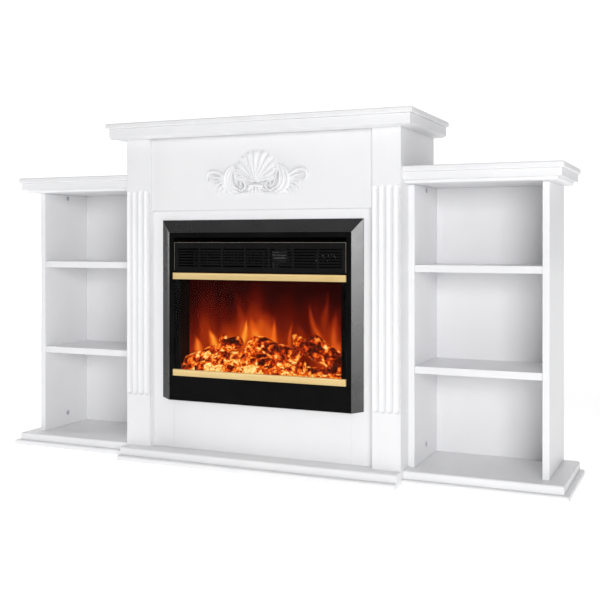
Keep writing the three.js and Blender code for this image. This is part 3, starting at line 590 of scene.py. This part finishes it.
def in_fire(x, behind, above):
    """A place given from the bed's front top edge, in millimetres."""
    return np.array([x * MM, FIRE_FRONT + behind * MM, BED_TOP + above * MM])


# From, to, radius and the seed of the bark.
LOGS = [
    ((-270, 32, 20), (-88, 46, 104), 22, 1), ((-150, 42, 92), (-138, 44, 116), 9, 2),
    ((-46, 50, 96), (114, 34, 58), 23, 3), ((-70, 38, 44), (-24, 46, 96), 20, 4),
    ((92, 56, 102), (244, 34, 38), 20, 5), ((96, 56, 96), (86, 56, 122), 8, 6),
    ((138, 58, 110), (268, 54, 44), 17, 7), ((-222, 16, 14), (-52, 26, 62), 17, 8),
    ((-66, 14, 36), (30, 18, 42), 16, 9), ((50, 13, 46), (126, 12, 20), 13, 10),
    ((-120, 46, 34), (120, 50, 36), 24, 11), ((150, 16, 16), (262, 22, 26), 15, 12),
    ((-262, 50, 24), (-170, 56, 50), 18, 13),
]


def rough_log(start, end, radius, seed):
    """A bent, barked log with broken ends."""
    start, end, radius = in_fire(*start), in_fire(*end), radius * MM
    way = end - start
    length = np.linalg.norm(way)
    way /= length
    side = np.cross(way, (0, 1, 0))
    side /= np.linalg.norm(side)
    up = np.cross(side, way)
    around = np.linspace(0, 2 * math.pi, 40, endpoint=False)
    count = max(6, int(length / 0.004))
    rings = []
    for share in np.linspace(0, 1, count):
        centre = start + way * length * share
        bend = fractal(np.array([[share * 3, seed, 0], [share * 3, seed, 9]]), 1.0, 2, seed) - 0.5
        centre = centre + (side * bend[0] + up * bend[1]) * radius * 0.7
        spots = np.stack([np.cos(around) * 2.6, np.sin(around) * 2.6,
                          np.full(40, share * length / 0.035)], axis=1)
        bark = fractal(spots + seed * 7.3, 1.0, 3, seed) - 0.5
        knots = fractal(spots * (0.5, 0.5, 0.8) + seed * 3.1, 1.0, 2, seed + 20) - 0.5
        reach = radius * (1 + 0.42 * bark + 0.32 * knots) * (1.05 - 0.15 * share)
        close = min(share, 1 - share) * length
        reach = reach * (0.82 + 0.18 * min(1, close / (0.35 * radius)))
        rings.append([tuple(centre + (side * math.cos(a) + up * math.sin(a)) * r)
                      for a, r in zip(around, reach)])
    return rings_to_solid(rings)


def coal(centre, radius, seed):
    """A small irregular lump."""
    rings = []
    around = np.linspace(0, 2 * math.pi, 12, endpoint=False)
    for tilt in np.linspace(0.12, math.pi - 0.12, 8):
        spots = np.stack([np.cos(around) * math.sin(tilt), np.sin(around) * math.sin(tilt),
                          np.full(12, math.cos(tilt))], axis=1)
        reach = radius * (0.7 + 0.7 * fractal(spots * 1.4 + seed * 5.7, 1.0, 2, seed))
        rings.append([tuple(centre + p * (1.15, 1, 0.8) * r) for p, r in zip(spots, reach)])
    return rings_to_solid(rings)


def box_solid(low, high):
    (x0, y0, z0), (x1, y1, z1) = low, high
    points = [(x0, y0, z0), (x1, y0, z0), (x1, y1, z0), (x0, y1, z0),
              (x0, y0, z1), (x1, y0, z1), (x1, y1, z1), (x0, y1, z1)]
    faces = [(3, 2, 1, 0), (4, 5, 6, 7), (0, 1, 5, 4), (1, 2, 6, 5), (2, 3, 7, 6), (3, 0, 4, 7)]
    return points, faces


def build_logs():
    """Crossed logs fused at the places where they touch, hot in patches and flecks."""
    mesh = fused("logs", [rough_log(*log) for log in LOGS], FIRE_CELL)
    points = coordinates(mesh)
    grain = fractal(points, 0.010, 3, 31) - 0.5
    pits = np.abs(fractal(points, 0.017, 2, 44) - 0.5)
    shift = grain * 0.0034 - (0.05 - np.minimum(pits, 0.05)) * 0.035
    points = points + normals(mesh) * shift[:, None]
    low = Vector((bed_low.x + 0.001, FIRE_FRONT - 0.0003, BED_TOP - 0.03))
    high = Vector((bed_high.x - 0.001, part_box("flame_screen")[0].y - 0.0005, 1))
    points = np.clip(points, low, high)
    set_coordinates(mesh, points)
    patch = fractal(points, 0.055, 2, 51) - 0.5
    fleck = fractal(points, 0.013, 3, 62) - 0.5
    under = smooth(-normals(mesh)[:, 2], -0.2, 0.9)
    height = (points[:, 2] - BED_TOP) / 0.12
    right = smooth(points[:, 0], 0.0, 0.25)
    heat = (0.46 + 0.9 * patch + 1.2 * fleck + 1.3 * grain + 0.30 * under - 0.10 * height
            + 0.06 * right)
    set_heat(mesh, heat)
    piece = new_piece("glowing_logs", mesh, glowing("charred_log", 120.0))
    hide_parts("log_set")


LUMPS = 330
HOT_PLACES = ((0.12, 0.09, 1.0), (-0.02, 0.08, 0.7), (-0.19, 0.06, 0.5))     # x, width, share


def build_embers():
    """The bed's moulded crust: lumps of every size fused over its sloping top."""
    chance = random.Random(7)
    inset = 0.0015
    skin = 0.004
    front, back = FIRE_FRONT + inset, bed_high.y - inset
    x0, x1 = bed_low.x + inset, bed_high.x - inset
    wedge = [(x0, front, BED_TOP - skin), (x1, front, BED_TOP - skin),
             (x1, back, BED_TOP + BED_RISE - skin), (x0, back, BED_TOP + BED_RISE - skin),
             (x0, front, BED_TOP), (x1, front, BED_TOP), (x1, back, BED_TOP + BED_RISE),
             (x0, back, BED_TOP + BED_RISE)]
    solids = [(wedge, box_solid((0, 0, 0), (1, 1, 1))[1])]
    solids.append(box_solid((x0, front, bed_low.z), (x1, front + skin, BED_TOP)))
    solids.append(box_solid((x0, back - skin, bed_low.z), (x1, back, BED_TOP + 0.012)))
    for i in range(LUMPS):
        x = chance.uniform(-272, 272)
        behind = chance.uniform(7, 66) if i % 2 else chance.uniform(7, 26)
        radius = chance.uniform(4.5, 10.5)
        pile = 6 + 20 * max(0, 1 - abs(x) / 300) * chance.random()
        above = behind * BED_SLOPE + radius * 0.4 + (pile if behind > 12 else 2) * chance.random()
        solids.append(coal(in_fire(x, behind, above), radius * MM, i))
    mesh = fused("embers", solids, FIRE_CELL)
    low, high = (bed_low.x, FIRE_FRONT, bed_low.z), (bed_high.x, bed_high.y, 1)
    points = np.clip(coordinates(mesh), low, high)
    grain = fractal(points, 0.007, 2, 71) - 0.5
    points = points + normals(mesh) * (grain * 0.0016)[:, None]
    points = np.clip(points, low, high)
    set_coordinates(mesh, points)
    patch = fractal(points, 0.05, 2, 81) - 0.5
    fleck = fractal(points, 0.011, 3, 92) - 0.5
    hot = sum(share * np.exp(-((points[:, 0] - x) / wide) ** 2) for x, wide, share in HOT_PLACES)
    below = smooth(BED_TOP - 0.002 - points[:, 2], 0, 0.01)
    heat = 0.46 + 0.9 * patch + 1.6 * fleck + 0.18 * hot - 1.2 * below
    set_heat(mesh, heat)
    piece = new_piece("ember_crust", mesh, glowing("glowing_embers", 170.0))
    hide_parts("ember_bed")


# Tongues of flame on the screen: foot and tip as x and z in millimetres, width, brightness.
TONGUES = [
    (-196, 352, -208, 402, 13, 0.42), (-92, 380, -83, 440, 9, 0.36), (-60, 385, -74, 452, 16, 0.16),
    (-98, 400, -136, 548, 17, 0.15), (7, 375, 6, 446, 9, 0.22), (60, 352, 68, 446, 8, 0.24),
    (150, 400, 116, 500, 11, 0.26), (176, 466, 184, 552, 8, 0.18), (208, 400, 206, 486, 11, 0.16),
    (-255, 335, -262, 380, 14, 0.36), (-150, 360, -160, 430, 26, 0.14), (-20, 380, -14, 470, 40, 0.10),
    (110, 360, 92, 430, 24, 0.16), (230, 330, 236, 400, 22, 0.16), (-235, 360, -228, 470, 24, 0.08),
]


SCREEN_GRID = (200, 130)


def build_flames():
    """The printed screen behind the logs: a dense grid in front, so its heat is smooth."""
    low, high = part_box("flame_screen")
    across, up = SCREEN_GRID
    xs = np.linspace(low.x, high.x, across)
    zs = np.linspace(low.z, high.z, up)
    grid = [(x, low.y, z) for z in zs for x in xs]
    faces = []
    for j in range(up - 1):
        for i in range(across - 1):
            a = j * across + i
            faces.append((a, a + 1, a + across + 1, a + across))
    rim = (list(range(across)) + [j * across + across - 1 for j in range(1, up)]
           + [(up - 1) * across + i for i in range(across - 2, -1, -1)]
           + [j * across for j in range(up - 2, 0, -1)])
    start = len(grid)
    points = grid + [(grid[i][0], high.y, grid[i][2]) for i in rim]
    count = len(rim)
    for k in range(count):
        n = (k + 1) % count
        faces.append((rim[n], rim[k], start + k, start + n))
    faces.append(tuple(reversed(range(start, start + count))))
    mesh = new_mesh("flames", points, faces)

    spots = coordinates(mesh)
    x, z = spots[:, 0] / MM, spots[:, 2] / MM
    sway = fractal(spots * (1, 0, 1), 0.07, 3, 5) - 0.5
    rise = smooth(z, 575, 330)
    middle = np.exp(-((x + 60) / 190) ** 2)
    heat = 0.14 + 0.34 * rise**1.2 + 0.16 * middle * smooth(z, 560, 420)
    heat -= 0.08 * smooth(x, 40, 160) * smooth(z, 430, 560)
    wisps = fractal(np.stack([spots[:, 0] + sway * 0.03, spots[:, 1] * 0, spots[:, 2] * 0.28], axis=1),
                    0.045, 3, 17) - 0.5
    heat += 0.5 * wisps * (0.25 + 0.75 * rise)
    for foot_x, foot_z, tip_x, tip_z, width, bright in TONGUES:
        share = (z - foot_z) / (tip_z - foot_z)
        lean = foot_x + (tip_x - foot_x) * share + 26 * sway * (0.3 + np.clip(share, 0, 1))
        thin = width * np.clip(1.15 - share, 0.15, 1.15)
        body = np.exp(-((x - lean) / thin) ** 2)
        heat += bright * body * smooth(share, 1.1, 0.45) * smooth(share, -0.8, 0.0)
    set_heat(mesh, heat)
    piece = new_piece("flame_picture", mesh, flame_film())
    for polygon in mesh.polygons:
        polygon.use_smooth = False
    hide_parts("flame_screen")


# ---------------------------------------------------------------- small fittings
def turned_disc(centre, axis, profile, sides=28):
    """A disc turned about an axis. The profile is pairs of radius and height along the axis."""
    axis = Vector(axis)
    spin = axis.to_track_quat("Z", "Y").to_matrix()
    rings = []
    for radius, height in profile:
        ring = []
        for k in range(sides):
            turn = 2 * math.pi * k / sides
            local = Vector((radius * math.cos(turn), radius * math.sin(turn), height))
            ring.append(tuple(Vector(centre) + spin @ local))
        rings.append(ring)
    return rings_to_solid(rings)


def joined(name, solids, material, body="cabinet"):
    """Several closed shapes, given as points and faces, as one flat-shaded piece."""
    points, faces = [], []
    for solid_points, solid_faces in solids:
        start = len(points)
        points.extend(solid_points)
        faces.extend([tuple(i + start for i in face) for face in solid_faces])
    piece = new_piece(name, new_mesh(name, points, faces), material, body)
    for polygon in piece.data.polygons:
        polygon.use_smooth = False
    return piece


# A cam-lock head as pairs of radius and height, in millimetres.
COVER_PROFILE = [(7.5, 0), (7.5, 0.7), (7.2, 1.05), (6.6, 1.25), (2.4, 1.25), (2.0, 0.9), (0.3, 0.85)]
LOCK_ABOVE = 0.042               # from the panel's bottom edge, in metres
LOCK_BELOW = 0.012               # from its top edge


def build_lock_covers(material):
    """Zinc cam-lock heads on the bookcase panels' inner faces."""
    profile = [(radius * MM, height * MM) for radius, height in COVER_PROFILE]
    for side in ("left", "right"):
        sign = -1 if side == "left" else 1
        for panel, facing in (("inner", sign), ("outer", -sign)):
            low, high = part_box(f"{side}_bookcase_{panel}_panel")
            x = high.x if facing > 0 else low.x
            solids = []
            y = low.y + 0.04 + 0.54 * (high.y - low.y - 0.115)
            for z in (low.z + LOCK_ABOVE, high.z - LOCK_BELOW):
                solids.append(turned_disc((x, y, z), (facing, 0, 0), profile))
            joined(f"{side}_{panel}_lock_covers", solids, material)


def turned_bar(centre, turn, size, y, thickness):
    """A flat bar facing the front, turned about an axis from the front to the back."""
    wide, long = size
    corners = [(-wide / 2, -long / 2), (wide / 2, -long / 2), (wide / 2, long / 2), (-wide / 2, long / 2)]
    out = Vector((math.sin(turn), math.cos(turn)))
    across = Vector((out.y, -out.x))
    rings = []
    for depth in (y, y - thickness):
        rings.append([(centre[0] + across.x * a + out.x * b, depth, centre[1] + across.y * a + out.y * b)
                      for a, b in corners])
    return rings_to_solid(rings)


DIAL_START = -135                # degrees from upright
TICKS = 10
TICK_PITCH = 30
POINTER_REACH = 0.0055           # metres from the knob's axis to the pointer's middle
TICK_REACH = 0.0135


def frame_axis(body):
    """Where a knob's axis is, as x and z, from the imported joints."""
    for joint in frame["joints"]:
        if joint["child"] == body:
            place = joint["pos_m"]
            return place[0], place[2]
    raise ValueError(body)


def build_dial_marks():
    """Pointer lines on the knobs and plain ticks round them on the control box."""
    white = Surface("mark_white", Roughness=0.5)
    speck = white.noise(500.0, 2.0)
    white.drive(Base_Color=white.ramp(speck, [(0.3, (0.62, 0.62, 0.60)), (0.7, (0.78, 0.78, 0.76))]))
    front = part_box("control_box")[0].y
    ticks = []
    for knob in ("flame_knob", "thermostat_knob"):
        x, z = frame_axis(knob)
        turn = math.radians(DIAL_START)
        tip = (x + math.sin(turn) * POINTER_REACH, z + math.cos(turn) * POINTER_REACH)
        bar = turned_bar(tip, turn, (0.0011, 0.006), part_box(knob)[0].y, 0.0003)
        joined(f"{knob}_pointer", [bar], white.material, knob)
        for i in range(TICKS):
            turn = math.radians(DIAL_START + TICK_PITCH * i)
            spot = (x + math.sin(turn) * TICK_REACH, z + math.cos(turn) * TICK_REACH)
            ticks.append(turned_bar(spot, turn, (0.0008, 0.0028), front, 0.0002))
    joined("dial_ticks", ticks, white.material)


def build_flap_highlight_bead():
    """A thin bead along the top and the two sides of the flap's face; its light colour is a painted
    highlight of the flap's edge.
    """
    low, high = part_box("louvre_flap")
    inset, wide, proud = 0.0006, 0.0011, 0.0004
    top = high.z - inset
    foot = low.z + 0.004
    middle = (low.x + high.x) / 2
    half = high.x - inset - middle
    thin = half - wide
    outline = [(-half, foot), (-half, top), (half, top), (half, foot),
               (thin, foot), (thin, top - wide), (-thin, top - wide), (-thin, foot)]
    rings = [[(middle + x, y, z) for x, z in outline] for y in (low.y - proud, low.y + proud)]
    # Painted highlight: the bead's light grey-brown stands for the bright line along the flap's edge.
    highlight_bead = Surface("painted_highlight_bead", Metallic=0.6)
    highlight_noise = highlight_bead.noise(120.0, 4.0)
    highlight_bead.drive(Base_Color=highlight_bead.ramp(highlight_noise, [(0.3, (0.20, 0.18, 0.16)), (0.7, (0.34, 0.31, 0.27))]),
                Roughness=highlight_bead.spread(highlight_noise, 0.3, 0.5))
    joined("flap_highlight_bead", [rings_to_solid(rings)], highlight_bead.material, "louvre_flap")


# ---------------------------------------------------------------- assembly
# Edge radius in metres, where it differs from the boards'.
BOARD_BEVEL = 0.0008
THIN_BEVEL = 0.0002
BEVELS = {"louvre_flap": 0.0006, "glass_pane": 0.0004, "flame_spindle": 0.0001, "blower_wheel": THIN_BEVEL,
          "heater_element": THIN_BEVEL, "firebox_cover": THIN_BEVEL, "firebox_floor": THIN_BEVEL,
          "firebox_baffle": THIN_BEVEL, "firebox_back": THIN_BEVEL, "lamp_board": THIN_BEVEL}


def finish_nodes(materials):
    """Gives each visible CAD node softened edges and the first material that fits its name."""
    for name, node in frame["nodes"].items():
        if node.hide_render:
            continue
        node.data.materials.clear()
        node.data.materials.append(next(m for words, m in materials if any(w in name for w in words)))
        weld = node.modifiers.new("weld", "WELD")
        weld.merge_threshold = 0.00001
        if "pilaster" in name:
            flat = node.modifiers.new("flat", "DECIMATE")
            flat.decimate_type = "DISSOLVE"
            flat.angle_limit = math.radians(1)
        bevel = node.modifiers.new("bevel", "BEVEL")
        bevel.width = BEVELS.get(name, BOARD_BEVEL)
        bevel.segments = 2
        bevel.limit_method = "ANGLE"
        bevel.angle_limit = math.radians(25 if name == "bezel_frame" else 40)
        bevel.use_clamp_overlap = True
        node.data.shade_smooth()
        node.modifiers.new("normals", "WEIGHTED_NORMAL").keep_sharp = False


def build_floor():
    """A pale floor just under the object."""
    low, high = -FLOOR_REACH, FLOOR_REACH
    corners = [(low, low, -MM), (high, low, -MM), (high, high, -MM), (low, high, -MM)]
    mesh = new_mesh("floor", corners, [(0, 1, 2, 3)])
    mesh.materials.append(floor_paint())
    floor = bpy.data.objects.new("floor", mesh)
    scene.collection.objects.link(floor)


place_camera()
light_room()
build_floor()
white = painted_board()
carve_applique(white)
build_logs()
build_embers()
build_flames()
zinc = galvanised("zinc_sheet")
build_lock_covers(zinc)
build_dial_marks()
build_flap_highlight_bead()
finish_nodes([
    (("bezel_frame",), black_coat("bezel_coat", (0.010, 0.015), (0.24, 0.34), 900.0, 0.00003, 0.8)),
    (("face_frame",), black_coat("face_coat", (0.002, 0.004), (0.32, 0.45), 900.0, 0.00003, 0.06)),
    (("louvre_flap", "control_box", "rocker", "knob", "gland"),
     black_coat("black_plastic", (0.003, 0.005), (0.38, 0.55), 700.0, 0.00006, 0.12)),
    (("trim_strip",), brass()),
    (("glass_pane",), clear_glass()),
    # Painted shade: the firebox sheet is near-black inside the chamber.
    (("firebox",), galvanised("chamber_sheet", dark_inside=True)),
    # Painted shade: the heater fins are coloured near-black for the shade behind the louvres.
    (("heater",), black_coat("shaded_heater_fins", (0.020, 0.035), (0.50, 0.65), 250.0, 0.00010, 0.2)),
    (("motor",), zinc),
    # Painted shade: the blower wheel's steel is coloured near-black for the shade behind the louvres.
    (("blower_wheel",), black_coat("shaded_blower_steel", (0.012, 0.020), (0.45, 0.60), 300.0, 0.00008, 0.2)),
    (("spindle",), foil()),
    (("lamp_board",), circuit_board()),
    (("",), white),
])
